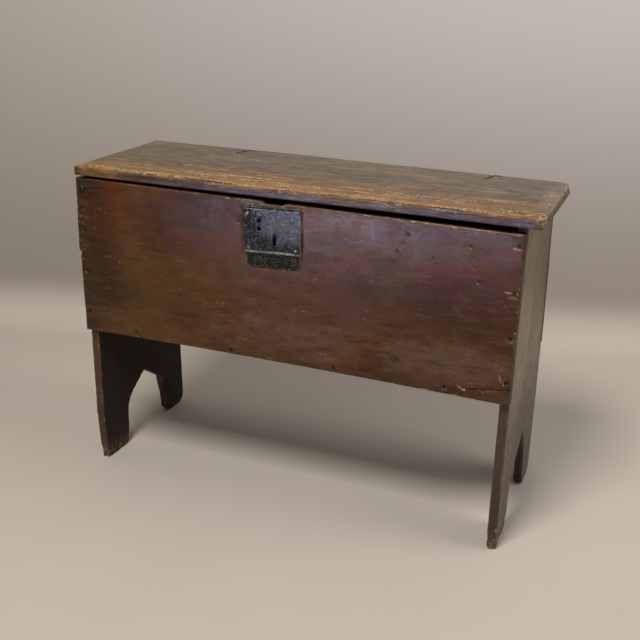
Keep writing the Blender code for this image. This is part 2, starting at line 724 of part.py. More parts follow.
def make_plates(lock):
    """The lock plate over the older, larger plate let into the wood behind it."""
    wide, high = PLATE_WIDE / 2, PLATE_HIGH / 2
    plate = solid("lock_plate", block((-wide, -GAP - PLATE_THICK, -high), (wide, -GAP, high)), IRON, lock)
    through = (-GAP - 2 * PLATE_THICK, PLATE_THICK)
    slot = prism(rectangle(SLOT_X - SLOT_WIDE / 2, SLOT_X + SLOT_WIDE / 2,
                           SLOT_Z - SLOT_HIGH / 2, SLOT_Z + SLOT_HIGH / 2), *through, "xzy")
    keyhole = prism(keyhole_outline(), *through, "xzy")
    holes = nail_holes(bmesh.new(), plate_nail_places(), PLATE_NAIL)
    plate_holes = cutter("plate_nail_holes", holes, lock)
    ease(plate, PLATE_THICK / 4)
    cut(plate, cutter("hasp_slot", slot, lock), cutter("keyhole", keyhole, lock), plate_holes)

    under = solid("under_plate", prism(under_plate_outline(), 0, UNDER_THICK, "xzy"), IRON_RUST, lock)
    window = block((-MORTISE_WIDE / 2, -PLATE_THICK, -MORTISE_HIGH / 2),
                   (MORTISE_WIDE / 2, 2 * UNDER_THICK, MORTISE_HIGH / 2))
    under_holes = nail_holes(bmesh.new(), under_nail_places(), PLATE_NAIL)
    lock_window = cutter("lock_window", window, lock)
    cut(under, lock_window, plate_holes, cutter("under_nail_holes", under_holes, lock))
    nails("lock_plate_nail", plate_nail_places(), nail_mesh("plate_nail", PLATE_NAIL, IRON), lock)
    nails("under_plate_nail", under_nail_places(), nail_mesh("under_nail", PLATE_NAIL, IRON_RUST), lock)


def make_bolt(lock):
    """The bolt, shot across the hasp slot. The talon in its lower edge is where the key's bit pushes."""
    talon0 = KEY_X - TALON_WIDE / 2
    talon1 = talon0 + TALON_WIDE
    outline = [
        (BOLT_LEFT, BOLT_LOW), (talon0, BOLT_LOW), (talon0, BOLT_LOW + TALON_DEEP),
        (talon1, BOLT_LOW + TALON_DEEP), (talon1, BOLT_LOW), (BOLT_TAIL, BOLT_LOW),
        (BOLT_TAIL, BOLT_TOP), (BOLT_LEFT, BOLT_TOP)]
    solid("lock_bolt", prism(outline, 0, BOLT_THICK, "xzy"), IRON, lock)


def bridge_outline(low, high, reach):
    """A strap bent to a bridge: two feet on the plate and a back that clears what passes under it."""
    return [
        (low - STRAP, 0), (low, 0), (low, reach), (high, reach),
        (high, 0), (high + STRAP, 0), (high + STRAP, reach + STRAP), (low - STRAP, reach + STRAP)]


def make_lock_works(lock):
    """What works the bolt behind the plate: two keepers, a leaf spring, a ward bridge and the drill pin."""
    for side, x in zip(("left", "right"), KEEPER_XS):
        strap = bridge_outline(BOLT_LOW - GAP, BOLT_TOP + GAP, BOLT_THICK + GAP)
        solid(side + "_bolt_keeper", prism(strap, x, x + KEEPER_WIDE, "zyx"), IRON_RUST, lock)

    x0 = KEEPER_XS[0] + KEEPER_WIDE + STRAP
    x1 = KEEPER_XS[1] - STRAP
    steps = 8
    sag = [(x0 + (x1 - SPRING_ROOT - x0) * i / steps, BOLT_TOP + GAP + SPRING_RISE * (i / steps) ** 2)
           for i in range(steps + 1)]
    top = [(x, z + SPRING_THICK) for x, z in reversed(sag)]
    root_low, root_high = sag[-1][1] - SPRING_ROOT / 2, sag[-1][1] + SPRING_ROOT / 2
    root = [(sag[-1][0], root_low), (x1, root_low), (x1, root_high), (sag[-1][0], root_high)]
    solid("bolt_spring", prism([*sag[:-1], *root, *top[1:]], 0, BOLT_THICK, "xzy"), IRON, lock)

    ward = bridge_outline(KEY_X - WARD_SPAN / 2, KEY_X + WARD_SPAN / 2, WARD_REACH)
    solid("ward_bridge", prism(ward, KEY_Z - WARD_HIGH / 2, KEY_Z + WARD_HIGH / 2, "xyz"), IRON_RUST, lock)

    circle = arc((KEY_X, KEY_Z), PIN_RADIUS, 0, 330, 11)
    solid("drill_pin", prism(circle, -GAP - PLATE_THICK, WARD_REACH - GAP, "xzy"), IRON, lock)


def make_nails():
    """The nails that hold the boards, a row for each seam. The front's top left one has a big round head."""
    board_nail = nail_mesh("board_nail", BOARD_NAIL, IRON)
    dome_nail = nail_mesh("dome_nail", DOME_NAIL, IRON)
    for side in NAIL_XS:
        nails(f"front_{side}_nail", FRONT_CORNER_NAILS[side], board_nail)
        nails(f"back_{side}_nail", BACK_CORNER_NAILS[side], board_nail)
    bpy.data.objects["front_left_nail_1"].data = dome_nail
    nails("front_bottom_nail", FRONT_BOTTOM_NAILS, board_nail)
    nails("back_bottom_nail", BACK_BOTTOM_NAILS, board_nail)


def main():
    clear_scene()
    pivot = empty("lid_hinge_axis", (0, PIVOT_Y, PIVOT_Z))
    lock_x = LEFT + LOCK_FROM_LEFT
    lock = empty("lock_frame", (lock_x, FRONT, front_top(lock_x) - LOCK_BELOW_TOP), (0, -LOCK_TILT, 0))
    lid_tools, back_tools = make_hinges(pivot)
    make_front_plank(lock)
    make_back_plank(back_tools)
    make_end("left")
    make_end("right")
    make_bottom()
    make_lid(pivot, lid_tools)
    make_plates(lock)
    make_bolt(lock)
    make_lock_works(lock)
    make_nails()


main()
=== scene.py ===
# %% [markdown]
# # An old six plank coffer
# A boarded coffer is the simplest chest there is: a front, a back, a bottom, a lid and two ends that run
# down to the floor as feet, all nailed together. The frame already holds those boards at their real size.
# This notebook gives them what long use gave the real one: rounded arrises, splits, chips, wax and rust.

# %% Load the frame
import math
import random

import bmesh
import bpy
from mathutils import Matrix, Vector


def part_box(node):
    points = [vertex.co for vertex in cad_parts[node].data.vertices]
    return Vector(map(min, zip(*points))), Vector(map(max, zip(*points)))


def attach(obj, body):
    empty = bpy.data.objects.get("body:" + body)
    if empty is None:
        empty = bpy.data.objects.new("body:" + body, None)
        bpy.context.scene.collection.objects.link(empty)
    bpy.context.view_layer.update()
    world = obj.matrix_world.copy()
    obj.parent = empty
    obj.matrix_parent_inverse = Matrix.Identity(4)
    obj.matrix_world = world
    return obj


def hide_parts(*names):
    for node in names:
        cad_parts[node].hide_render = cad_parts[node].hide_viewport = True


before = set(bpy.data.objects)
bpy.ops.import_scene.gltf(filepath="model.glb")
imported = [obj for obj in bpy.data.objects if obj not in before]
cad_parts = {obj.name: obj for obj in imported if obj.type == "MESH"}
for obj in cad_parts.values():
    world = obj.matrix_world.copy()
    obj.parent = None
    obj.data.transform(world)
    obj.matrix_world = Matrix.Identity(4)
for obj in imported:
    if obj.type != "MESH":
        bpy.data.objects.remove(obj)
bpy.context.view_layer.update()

MM = 0.001
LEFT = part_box("left_end")[0].x
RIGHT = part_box("right_end")[1].x
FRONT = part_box("front_plank")[0].y
FRONT_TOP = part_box("front_plank")[1].z
LID_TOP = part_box("lid")[1].z

# %% [markdown]
# ## Colours and nodes
# Every colour below is written as an sRGB hex value, the way a colour picker shows it, and turned to the
# linear values that Blender's shaders work in. Every node of a material or a geometry tree is added by
# one function that fills the node's inputs from the top down, so a tree reads as a list of what feeds what.

# %% Helpers for colours and nodes
SHORT_NAMES = {
    "noise": ("ShaderNodeTexNoise", {}),
    "mix": ("ShaderNodeMix", {"data_type": "RGBA"}),
    "step": ("ShaderNodeMapRange", {"interpolation_type": "SMOOTHSTEP"}),
    "multiply": ("ShaderNodeMath", {"operation": "MULTIPLY"}),
    "subtract": ("ShaderNodeMath", {"operation": "SUBTRACT"}),
    "multiply add": ("ShaderNodeMath", {"operation": "MULTIPLY_ADD"}),
    "add vectors": ("ShaderNodeVectorMath", {"operation": "ADD"}),
    "subtract vectors": ("ShaderNodeVectorMath", {"operation": "SUBTRACT"}),
    "multiply vectors": ("ShaderNodeVectorMath", {"operation": "MULTIPLY"}),
    "divide vectors": ("ShaderNodeVectorMath", {"operation": "DIVIDE"}),
    "multiply add vectors": ("ShaderNodeVectorMath", {"operation": "MULTIPLY_ADD"}),
    "scale vector": ("ShaderNodeVectorMath", {"operation": "SCALE"}),
    "dot": ("ShaderNodeVectorMath", {"operation": "DOT_PRODUCT"}),
}
MID_NOISE = (0.5, 0.5, 0.5)


def paint(code):
    """An sRGB hex colour as linear red, green, blue and alpha."""
    parts = [int(code[i:i + 2], 16) / 255 for i in (0, 2, 4)]
    return [c / 12.92 if c <= 0.04045 else ((c + 0.055) / 1.055) ** 2.4 for c in parts] + [1.0]


def add(tree, kind, *feeds, **settings):
    """One node. Feeds fill its inputs from the top down: a value, a socket to link from, or None to skip
    one. Gives back the first output that is in use."""
    kind, usual = SHORT_NAMES.get(kind, (kind, {}))
    node = tree.nodes.new(kind)
    for name, value in {**usual, **settings}.items():
        setattr(node, name, value)
    in_use = [s for s in node.inputs if s.enabled]
    for socket, feed in zip(in_use, feeds):
        if isinstance(feed, bpy.types.NodeSocket):
            tree.links.new(feed, socket)
        elif feed is not None:
            socket.default_value = feed
    return next((s for s in node.outputs if s.enabled), None)


def blotches(tree, place, size, detail=2.0, rough=0.5):
    """Noise whose blotches measure size, given in millimetres along x, y and z."""
    scaled = add(tree, "divide vectors", place, [s * MM for s in size])
    return add(tree, "noise", scaled, 1.0, detail, rough)


print("linear mid grey:", [round(c, 3) for c in paint("808080")])

# %% [markdown]
# ## The camera
# The camera stands where the photographer stood: to the right of the chest, a little above it, looking
# down. Yaw, pitch and roll were found by matching the corners of the boards. The lens follows from the focal
# length in pixels of a 640 pixel frame.

# %% Camera
YAW, PITCH, ROLL = (math.radians(a) for a in (21.29, 20.9, 1.37))
FRAME_PX, FOCAL_PX = 640, 961.2
EYE_FROM_CORNER = Vector((1130, -1562, 1058.6)) * MM

forward = Vector((-math.sin(YAW) * math.cos(PITCH), math.cos(YAW) * math.cos(PITCH), -math.sin(PITCH)))
level = Vector((math.cos(YAW), math.sin(YAW), 0))
rise = level.cross(forward)
camera_right = level * math.cos(ROLL) + rise * math.sin(ROLL)
camera_up = rise * math.cos(ROLL) - level * math.sin(ROLL)

camera_data = bpy.data.cameras.new("camera")
camera_data.lens = camera_data.sensor_width * FOCAL_PX / FRAME_PX
camera = bpy.data.objects.new("camera", camera_data)
turn = Matrix((camera_right, camera_up, -forward)).transposed().to_4x4()
camera.matrix_world = Matrix.Translation(Vector((LEFT, FRONT, 0)) + EYE_FROM_CORNER) @ turn
bpy.context.scene.collection.objects.link(camera)
bpy.context.scene.camera = camera
print("lens:", round(camera_data.lens, 2), "mm, at", tuple(round(v, 3) for v in camera.location))

# %% [markdown]
# ## Floor and backdrop
# A photographer's sweep is one sheet of pale paper that runs from the floor up the wall in a curve, so that
# no corner shows. One profile of floor, quarter circle and wall, drawn out sideways, makes it.

# %% Sweep
SWEEP_FRONT, SWEEP_BACK, SWEEP_CURVE, SWEEP_HIGH, SWEEP_WIDE = -5.0, 0.70, 0.12, 4.0, 5.0
SWEEP_TURN = math.radians(18)
CURVE_STEPS = 24

profile = [(SWEEP_FRONT, 0.0), (SWEEP_BACK, 0.0)]
for i in range(1, CURVE_STEPS + 1):
    angle = math.pi / 2 * i / CURVE_STEPS
    profile.append((SWEEP_BACK + SWEEP_CURVE * math.sin(angle), SWEEP_CURVE * (1 - math.cos(angle))))
profile.append((SWEEP_BACK + SWEEP_CURVE, SWEEP_HIGH))
corners = [(side * SWEEP_WIDE, y, z) for y, z in profile for side in (-1, 1)]
strips = [(2 * i, 2 * i + 1, 2 * i + 3, 2 * i + 2) for i in range(len(profile) - 1)]
sweep_mesh = bpy.data.meshes.new("sweep")
sweep_mesh.from_pydata(corners, [], strips)
sweep_mesh.transform(Matrix.Rotation(SWEEP_TURN, 4, "Z"))
sweep_mesh.shade_smooth()
sweep = bpy.data.objects.new("sweep", sweep_mesh)
bpy.context.scene.collection.objects.link(sweep)
print("sweep:", len(strips), "strips")

# %% [markdown]
# ## The sweep's paper
# A graded backdrop could come from more lamps, but they would light the chest too. So light and shade
# are painted on the paper itself: painted shade greys it low on the wall, and painted light makes it paler
# higher up and to the right. Its back is clear, so that the chest can be looked at from behind.

# %% Paper
ACROSS_FADE = (-1.5, 0.2)
FLOOR_FADE = (0.02, 0.16)
WALL_FADE = (0.15, 1.0)


def new_material(name):
    """A material with its node tree and its shader's inputs."""
    material = bpy.data.materials.new(name)
    material.use_nodes = True
    return material, material.node_tree, material.node_tree.nodes["Principled BSDF"].inputs


# Matt paper: no gloss, only a faint cloudiness, with painted shade low on the wall and painted light above
paper, tree, shader = new_material("matt_paper")
here = add(tree, "ShaderNodeTexCoord").node.outputs["Object"]
across, _, high = add(tree, "ShaderNodeSeparateXYZ", here).node.outputs
cloud = blotches(tree, here, (420, 420, 420), 3.0)
floor_tone = add(tree, "mix", cloud, paint("BAB2A8"), paint("C2BAB1"))
to_right = add(tree, "step", across, *ACROSS_FADE)
# Painted shade low on the wall and painted light high on it, both paler to the right
painted_shade_tone = add(tree, "mix", to_right, paint("9C958B"), paint("A29A92"))
painted_light_tone = add(tree, "mix", to_right, paint("AFA89F"), paint("C5C1C2"))
wall_tone = add(tree, "mix", add(tree, "step", high, *WALL_FADE), painted_shade_tone, painted_light_tone)
tone = add(tree, "mix", add(tree, "step", high, *FLOOR_FADE), floor_tone, wall_tone)
tree.links.new(tone, shader["Base Color"])
from_behind = add(tree, "ShaderNodeNewGeometry").node.outputs["Backfacing"]
tree.links.new(add(tree, "subtract", 1.0, from_behind), shader["Alpha"])
shader["Roughness"].default_value = 0.9
shader["Specular IOR Level"].default_value = 0.2
sweep_mesh.materials.append(paper)
print("paper:", len(tree.nodes), "nodes")

# %% [markdown]
# ## Light
# One soft light stands high in front, almost straight ahead: the shadow under the chest gives its place. A
# broad sheet over the right hand side lights the wall, and another lights the right end. A low cool window
# far in front has a narrow beam, which puts the blue sheen on the top of the waxed front and on the iron. A
# grey room fills the rest. The larger a lamp's sheet, the softer its shadow.

# %% Lamps and room
def lamp(name, place, aim, wide, high, watts, colour):
    """A sheet of light at place that faces aim."""
    data = bpy.data.lights.new(name, "AREA")
    data.shape = "RECTANGLE"
    data.size, data.size_y = wide, high
    data.energy = watts
    data.color = paint(colour)[:3]
    made = bpy.data.objects.new(name, data)
    made.location = place
    made.rotation_euler = (Vector(aim) - Vector(place)).to_track_quat("-Z", "Y").to_euler()
    bpy.context.scene.collection.objects.link(made)
    return made


# The key's height follows from the front plank's lower edge and from how far behind it the edge's shadow is
EDGE_HIGH, SHADOW_BACK = 312 * MM, 208 * MM
KEY_RISE = math.atan2(EDGE_HIGH, SHADOW_BACK)
KEY_TURN = math.radians(2)
KEY_AWAY = 3.2
WINDOW_BEAM = math.radians(7)
ROOM_STRENGTH = 0.15
MIDDLE = Vector((0, 0, 0.35))

level_part = math.cos(KEY_RISE)
to_key = Vector((-math.sin(KEY_TURN) * level_part, -math.cos(KEY_TURN) * level_part, math.sin(KEY_RISE)))
key = lamp("key", MIDDLE + to_key * KEY_AWAY, MIDDLE, wide=0.85, high=0.85, watts=87, colour="FFFAF4")
overhead = lamp("overhead", (2.1, 0.2, 2.6), (1.0, 0.9, 0.7), wide=1.4, high=1.4, watts=22, colour="FFFAF8")
window = lamp(
    "window", (-0.75, -3.2, 0.14), (0.22, FRONT, 0.67), wide=0.8, high=0.16, watts=0.28, colour="B6CCFF"
)
window.data.spread = WINDOW_BEAM
# The window is only there for the sheen, so it lights nothing matt
window.visible_diffuse = False
side = lamp("side", (3.0, 0.3, 1.7), (0.3, 0, 0.3), wide=2.0, high=2.0, watts=17, colour="FFFAF2")
room = bpy.data.worlds.new("room")
room.use_nodes = True
room.node_tree.nodes["Background"].inputs["Color"].default_value = paint("F6F3EE")
room.node_tree.nodes["Background"].inputs["Strength"].default_value = ROOM_STRENGTH
bpy.context.scene.world = room
bpy.context.scene.view_settings.view_transform = "Standard"
print("lamps:", [made.name for made in (key, overhead, window, side)])

# %% [markdown]
# ## What age does to a board
# Old boards all wear by the same rule, so one geometry tree makes them all. Its inputs are the board, the
# lines that wear follows, and the size and depth of each kind of wear. Sculpting each board by hand would
# give the same look, but the work would start again with every change to a solid.

# %% The wear tree's inputs
WEAR_INPUTS = {
    "Board": "Geometry",
    "Arrises": "Object",
    "Splits": "Object",
    "Worn places": "Object",
    "Arris reach": "Float",
    "Arris wear": "Float",
    "Chip size": "Vector",
    "Chip depth": "Float",
    "Wave size": "Vector",
    "Wave depth": "Float",
    "Ridge size": "Vector",
    "Ridge depth": "Float",
    "Split width": "Float",
    "Split depth": "Float",
    "Place reach": "Float",
    "Place depth": "Float",
    "Wear direction": "Vector",
    "Seed": "Float",
    "Finish": "Material",
}


def open_tree(name, inputs):
    """A geometry tree with these inputs, the sockets they feed from and each input's identifier."""
    tree = bpy.data.node_groups.new(name, "GeometryNodeTree")
    found = {
        key: tree.interface.new_socket(key, in_out="INPUT", socket_type="NodeSocket" + kind).identifier
        for key, kind in inputs.items()
    }
    tree.interface.new_socket("Made", in_out="OUTPUT", socket_type="NodeSocketGeometry")
    return tree, add(tree, "NodeGroupInput").node.outputs, found


wear, given, wear_sockets = open_tree("board_wear", WEAR_INPUTS)
print("wear tree:", len(wear_sockets), "inputs")

# %% [markdown]
# ## How close a point is to what wears
# Wires run along a board's arrises, its splits and its worst worn places. Splits and worn places are measured
# from a point that noise has shaken a little, so their borders come out ragged. More noise breaks the
# arrises into chips and the worn places into crumbs.

# %% Closeness
SHAKE = 5 * MM
SHAKE_SIZE = (7, 7, 7)
CRUMB_SIZE = (9, 9, 9)
CHIPPED = (0.54, 0.68)
CRUMBED = (0.3, 0.62)

spot = add(wear, "GeometryNodeInputPosition")
facing = add(wear, "GeometryNodeInputNormal")
seeded = add(wear, "add vectors", spot, given["Seed"])
shake = blotches(wear, seeded, SHAKE_SIZE).node.outputs["Color"]
shake = add(wear, "subtract vectors", shake, MID_NOISE)
shaken = add(wear, "multiply add vectors", shake, (SHAKE, SHAKE, SHAKE), spot)

# Each closeness is one on its lines and falls to nothing at its reach
closeness = {}
for name, lines, reach, point in (
    ("arris", "Arrises", "Arris reach", spot),
    ("split", "Splits", "Split width", shaken),
    ("rot", "Worn places", "Place reach", shaken),
):
    target = add(wear, "GeometryNodeObjectInfo", given[lines]).node.outputs["Geometry"]
    nearest = add(wear, "GeometryNodeProximity", target, None, point, target_element="EDGES").node
    closeness[name] = add(wear, "step", nearest.outputs["Distance"], 0.0, given[reach], 1.0, 0.0)
chip_noise, wave_noise, ridge_noise = (
    add(wear, "noise", add(wear, "divide vectors", seeded, given[size]), 1.0, detail)
    for size, detail in (("Chip size", 3.0), ("Wave size", 1.0), ("Ridge size", 3.0))
)
closeness["chip"] = add(wear, "multiply", closeness["arris"], add(wear, "step", chip_noise, *CHIPPED))
crumbs = add(wear, "step", blotches(wear, seeded, CRUMB_SIZE, 4.0), *CRUMBED)
closeness["rot"] = add(wear, "multiply", closeness["rot"], crumbs)
print("closeness to:", ", ".join(closeness))

# %% [markdown]
# ## Sinking the surface
# Each kind of wear takes its own depth from the wood, and a point sinks against its normal by all of them
# together. The closenesses stay on the mesh as attributes, so that the finish can be pale on a worn arris
# and painted black, as painted shade, in a split.

# %% Losses
losses = [
    (add(wear, "multiply", closeness["arris"], closeness["arris"]), given["Arris wear"]),
    (closeness["chip"], given["Chip depth"]),
    (closeness["split"], given["Split depth"]),
    (closeness["rot"], given["Place depth"]),
    (add(wear, "subtract", wave_noise, 0.5), given["Wave depth"]),
    (add(wear, "subtract", ridge_noise, 0.5), given["Ridge depth"]),
]
loss = 0.0
for share, depth in losses:
    loss = add(wear, "multiply add", share, depth, loss)
sink = add(wear, "scale vector", facing, loss)
sink = add(wear, "multiply vectors", sink, given["Wear direction"])
sink = add(wear, "scale vector", sink, -1.0)

made = given["Board"]
for name, value in closeness.items():
    made = add(wear, "GeometryNodeStoreNamedAttribute", made, None, name, value, domain="POINT")
made = add(wear, "GeometryNodeSetPosition", made, None, None, sink)
made = add(wear, "GeometryNodeSetShadeSmooth", made)
made = add(wear, "GeometryNodeRealizeInstances", made)
made = add(wear, "GeometryNodeSetMaterial", made, None, given["Finish"])
add(wear, "NodeGroupOutput", made)
print("wear tree:", len(wear.nodes), "nodes")

# %% [markdown]
# ## From a solid to a worn board
# A board starts as a copy of its solid, sewn into one closed skin. Its long sharp edges are the arrises.

# %% Skin and wires
SEW = 0.01 * MM
SHARP = math.radians(28)
ARRIS_LEAST = 9 * MM


def sewn(node):
    """A node's loose triangles as one closed mesh, and the lines of its arrises."""
    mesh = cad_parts[node].data.copy()
    mesh.materials.clear()
    bm = bmesh.new()
    bm.from_mesh(mesh)
    bmesh.ops.remove_doubles(bm, verts=bm.verts, dist=SEW)
    long_edges = [e for e in bm.edges if e.is_manifold and e.calc_length() > ARRIS_LEAST]
    lines = [[v.co.copy() for v in e.verts] for e in long_edges if e.calc_face_angle() > SHARP]
    bm.to_mesh(mesh)
    bm.free()
    return mesh, lines


def wire(name, lines):
    """An object of edges through each line of points."""
    points = [tuple(p) for line in lines for p in line]
    edges = []
    start = 0
    for line in lines:
        edges += [(start + i, start + i + 1) for i in range(len(line) - 1)]
        start += len(line)
    mesh = bpy.data.meshes.new(name)
    mesh.from_pydata(points, edges, [])
    made = bpy.data.objects.new(name, mesh)
    bpy.context.scene.collection.objects.link(made)
    return made


print("arrises: over", round(math.degrees(SHARP)), "degrees, over", round(ARRIS_LEAST / MM), "mm long")

# %% [markdown]
# ## The board maker
# A voxel remesh gives the skin an even net of small faces, the wear tree moves them, and a decimation then
# takes away faces where the board is flat. The result is a plain mesh that stands for the solid.

# %% Board maker
MOST_TRIANGLES = 190_000
UNDER_ALL = -1.0


def evaluated(obj):
    """The object's mesh with all its modifiers applied."""
    bpy.context.view_layer.update()
    graph = bpy.context.evaluated_depsgraph_get()
    return bpy.data.meshes.new_from_object(obj.evaluated_get(graph))


def triangles(mesh):
    """How many triangles a mesh has."""
    return sum(len(p.vertices) - 2 for p in mesh.polygons)


def worn(node, body, finish, voxel, splits, places, wear_values, crisp_below=UNDER_ALL):
    """The worn piece that stands for a solid. Arrises below a height can stay crisp."""
    mesh, arrises = sewn(node)
    arrises = [line for line in arrises if max(point.z for point in line) > crisp_below]
    piece = bpy.data.objects.new("old_" + node, mesh)
    bpy.context.scene.collection.objects.link(piece)
    net = piece.modifiers.new("net", "REMESH")
    net.mode = "VOXEL"
    net.voxel_size = voxel * 1.0
    lines = {"Arrises": arrises, "Splits": splits, "Worn places": places}
    guides = {key: wire(node + "_" + key, found) for key, found in lines.items()}
    ageing = piece.modifiers.new("ageing", "NODES")
    ageing.node_group = wear
    for key, value in {**wear_values, **guides, "Finish": finish}.items():
        ageing[wear_sockets[key]] = value
    piece.data = evaluated(piece)
    piece.modifiers.clear()
    count = triangles(piece.data)
    if count > MOST_TRIANGLES:
        thin = piece.modifiers.new("thin", "DECIMATE")
        thin.ratio = MOST_TRIANGLES / count
        piece.data = evaluated(piece)
        piece.modifiers.clear()
    for guide in guides.values():
        bpy.data.objects.remove(guide)
    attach(piece, body)
    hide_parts(node)
    print(piece.name, "net", count, "kept", triangles(piece.data))


print("most triangles in a board:", MOST_TRIANGLES)

# %% [markdown]
# ## Grain and places
# A pattern in wood is long along the grain and narrow across it. A stain lies round one place and frays at
# its border, as spilt or rubbed wax does.

# %% Grain and places
X_AXIS, Z_AXIS = 0, 2


def grain(along, long, across):
    """A pattern's size in millimetres, drawn out along the grain's axis."""
    return [long if axis == along else across for axis in range(3)]


def close_to(tree, here, fray, centre, radii):
    """One near a place and nothing past its radii, given in millimetres. The pattern in fray makes the
    border uneven."""
    reach = [r * MM for r in radii]
    local = add(tree, "ShaderNodeMapping", here, centre, None, reach, vector_type="TEXTURE")
    ball = add(tree, "ShaderNodeTexGradient", local, gradient_type="SPHERICAL").node.outputs["Fac"]
    frayed = add(tree, "step", add(tree, "multiply add", fray, 1.2, ball), 0.5, 1.15)
    return add(tree, "multiply", frayed, add(tree, "step", ball, 0.0, 0.3))


print("grain along x:", grain(X_AXIS, 150, 8))

# %% [markdown]
# ## Oak
# The boards are oak: long streaks of hard and soft growth, short dark pores along the grain, and a stain and
# a wax that age has darkened in patches. One function lays these over each other from the wood up. What
# differs from board to board is its colours, the faces and places that have others, and how strong the
# figure is.

# %% Oak finish
PORE = "0C0705"
# Near black for splits and joints: painted shade
PAINTED_SHADE_BLACK = "050302"
ROTTEN = "150E09"


def oak(
    name, along, dark, middle, light, rubbed, fresh, gloss, relief, figure, strokes, smears=0.5, flecks_and_glints=0.4,
    tints=(), faces=(), stains=(), polish=(), rub_from=0.0, rub=0.8, rims=0.0, wide=1.0,
):
    """Old oak with its grain along one axis. Gloss is the roughness where the wax is thick, and where it is
    thin. Figure and relief are how strongly the grain shows and how deep it is, wide is how broad its streaks
    are, and strokes, smears and flecks are how strong those marks are; the flecks are knocks to the pale wood
    and partly painted glints. Tints are two more tones of the wax.
    Faces gives a colour and a roughness to what looks one way, stains a colour to what lies near a place, and
    polish makes a place smoother. Rub is how worn the arrises above rub_from are, rims how pale the splits'
    borders are."""
    material, tree, shader = new_material(name)
    # The patterns. Most are bent a little and drawn out along the grain
    seat = add(tree, "ShaderNodeTexCoord").node.outputs
    here = seat["Object"]
    height = add(tree, "ShaderNodeSeparateXYZ", here).node.outputs["Z"]
    wander = blotches(tree, here, (190, 190, 190)).node.outputs["Color"]
    wander = add(tree, "subtract vectors", wander, MID_NOISE)
    bent = add(tree, "multiply add vectors", wander, grain(along, 0.0, 16 * MM), here)
    patch = blotches(tree, here, grain(along, 210, 90), 4.0, 0.6)
    smear = blotches(tree, bent, grain(along, 42, 14 * wide), 5.0, 0.66)
    streak = blotches(tree, bent, grain(along, 150, 8 * wide), 6.0, 0.62)
    fine = blotches(tree, bent, grain(along, 42, 2.4 * wide), 4.0, 0.6)
    stroke = blotches(tree, bent, grain(along, 38, 1.7 * wide), 1.0)
    cloud = blotches(tree, here, (26, 26, 26), 5.0, 0.65)
    grit = blotches(tree, here, (3.6, 3.6, 3.6), 3.0, 0.6)
    tone = blotches(tree, bent, grain(along, 80, 30), 4.0, 0.6).node.outputs["Color"]
    tones = add(tree, "ShaderNodeSeparateColor", tone).node.outputs
    pore = add(tree, "step", blotches(tree, bent, grain(along, 13, 1.6), 1.0), 0.58, 0.72)
    arris, chip, split, rot = (
        add(tree, "ShaderNodeAttribute", attribute_name=kept).node.outputs["Fac"]
        for kept in ("arris", "chip", "split", "rot")
    )

    # The wax, and the faces and places where it differs
    colour = add(tree, "mix", add(tree, "step", patch, 0.34, 0.64), paint(dark), paint(middle))
    for part, code in zip(tones, tints):
        colour = add(tree, "mix", add(tree, "step", part, 0.48, 0.66, 0.0, 0.6), colour, paint(code))
    rough = add(tree, "step", cloud, 0.3, 0.7, gloss[0], gloss[1])
    for way, code, share, face_rough in faces:
        turned = add(tree, "step", add(tree, "dot", seat["Normal"], way), 0.45, 0.85, 0.0, share)
        mottled = add(tree, "mix", add(tree, "step", cloud, 0.58, 0.95), paint(code), colour)
        colour = add(tree, "mix", turned, colour, mottled)
        rough = add(tree, "multiply add", turned, add(tree, "subtract", face_rough, rough), rough)
    for centre, radii, code, share in stains:
        near = close_to(tree, here, smear, centre, radii)
        colour = add(tree, "mix", add(tree, "multiply", near, share), colour, paint(code))

    # The grain: pale streaks, smears both pale and dark, and pores
    colour = add(tree, "mix", add(tree, "step", streak, 0.5, 0.8, 0.0, 0.8 * figure), colour, paint(light))
    colour = add(tree, "mix", add(tree, "step", smear, 0.55, 0.8, 0.0, smears), colour, paint(light))
    colour = add(tree, "mix", add(tree, "step", smear, 0.5, 0.28, 0.0, smears), colour, paint(PORE))
    colour = add(tree, "mix", add(tree, "multiply", pore, 0.5 * figure), colour, paint(PORE))
    colour = add(tree, "mix", add(tree, "step", fine, 0.47, 0.3, 0.0, 0.7 * figure), colour, paint(PORE))

    # The wear: scuffs, rubbed arrises, chips, knocks and painted glints, crumbled wood, splits painted as
    # shade
    scuffed = add(tree, "step", tones[2], 0.5, 0.64)
    scuff = add(tree, "multiply", add(tree, "step", stroke, 0.66, 0.8), scuffed)
    colour = add(tree, "mix", add(tree, "multiply", scuff, strokes), colour, paint(fresh))
    high_up = add(tree, "step", height, rub_from - 3 * MM, rub_from + 3 * MM, 0.15, 1.0)
    edge = add(tree, "multiply", add(tree, "step", arris, 0.45, 0.95), high_up)
    edge = add(tree, "multiply", edge, add(tree, "step", cloud, 0.4, 0.58, 0.0, rub))
    colour = add(tree, "mix", edge, colour, paint(rubbed))
    broken = add(tree, "multiply", chip, add(tree, "step", grit, 0.42, 0.62, 0.0, 0.9))
    colour = add(tree, "mix", broken, colour, paint(fresh))
    # Pale flecks: knocks to the bare wood, and painted glints
    speck = add(tree, "step", grit, 0.61, 0.69)
    knock_and_glint = add(tree, "multiply", speck, add(tree, "step", smear, 0.52, 0.64))
    colour = add(tree, "mix", add(tree, "multiply", knock_and_glint, flecks_and_glints), colour, paint(fresh))
    crumbled = add(tree, "mix", add(tree, "step", grit, 0.4, 0.62), paint(ROTTEN), paint(fresh))
    colour = add(tree, "mix", add(tree, "multiply", rot, 0.85), colour, crumbled)
    ragged = add(tree, "step", grit, 0.45, 0.6, 0.0, rims)
    rim = add(tree, "multiply", add(tree, "step", split, 0.0, 0.3), ragged)
    colour = add(tree, "mix", rim, colour, paint(fresh))
    # Inside a split the wood is painted near black, as painted shade
    colour = add(tree, "mix", add(tree, "step", split, 0.3, 0.8), colour, paint(PAINTED_SHADE_BLACK))
    tree.links.new(colour, shader["Base Color"])

